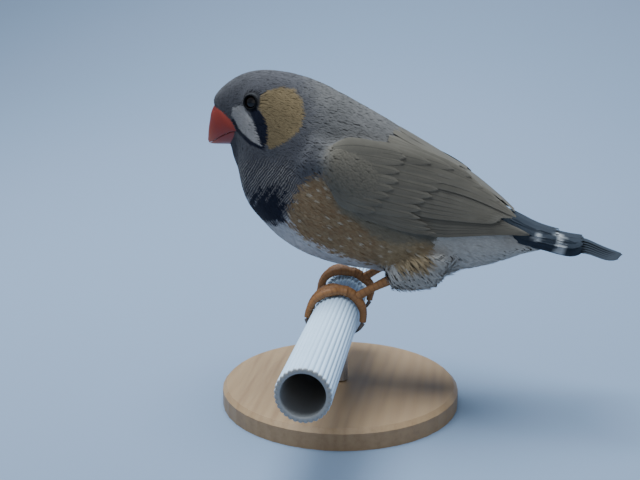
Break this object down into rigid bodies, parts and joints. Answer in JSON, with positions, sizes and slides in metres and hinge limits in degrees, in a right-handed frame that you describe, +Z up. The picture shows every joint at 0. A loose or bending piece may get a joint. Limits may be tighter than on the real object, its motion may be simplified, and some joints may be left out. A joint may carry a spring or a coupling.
{
  "type": "zebra finch model on a perch",
  "caption": "Life-size still model of a male zebra finch gripping a short ribbed plastic perch, carried by a small round display stand.",
  "frame": {"origin": "centre of the stand base's underside, on the floor", "axes": "+Z up; the bird faces -Y, its left side is +X, and the perch runs along X"},
  "size_m": [0.0878, 0.1002, 0.0832],
  "materials": {
    "plumage_head": "soft grey feathers",
    "plumage_body": "soft feathers, grey breast, white belly, chestnut flanks with white spots",
    "plumage_wing": "grey-brown wing feathers",
    "plumage_tail": "black tail feathers with white bars",
    "bill": "horn, red, slightly waxy",
    "eye": "wet, glossy dark",
    "leg_skin": "orange scaled skin",
    "claw": "horn, brownish grey",
    "perch_plastic": "white moulded plastic, ribbed",
    "stand_wood": "pale oiled wood",
    "stand_steel": "brushed"
  },
  "bodies": {
    "root": {"head": "plumage_head", "neck": "plumage_head", "torso": "plumage_body", "bill_upper": "bill", "bill_lower": "bill", "tail": "plumage_tail", "wing_left": "plumage_wing", "eye_left": "eye", "thigh_left": "plumage_body", "tarsus_left": "leg_skin", "foot_left": "leg_skin", "toe_inner_left": "leg_skin", "claw_inner_left": "claw", "toe_middle_left": "leg_skin", "claw_middle_left": "claw", "toe_outer_left": "leg_skin", "claw_outer_left": "claw", "toe_hind_left": "leg_skin", "claw_hind_left": "claw", "wing_right": "plumage_wing", "eye_right": "eye", "thigh_right": "plumage_body", "tarsus_right": "leg_skin", "foot_right": "leg_skin", "toe_inner_right": "leg_skin", "claw_inner_right": "claw", "toe_middle_right": "leg_skin", "claw_middle_right": "claw", "toe_outer_right": "leg_skin", "claw_outer_right": "claw", "toe_hind_right": "leg_skin", "claw_hind_right": "claw", "perch": "perch_plastic", "stand_saddle": "stand_steel", "stand_base": "stand_wood", "stand_rod": "stand_steel"}
  },
  "joints": []
}
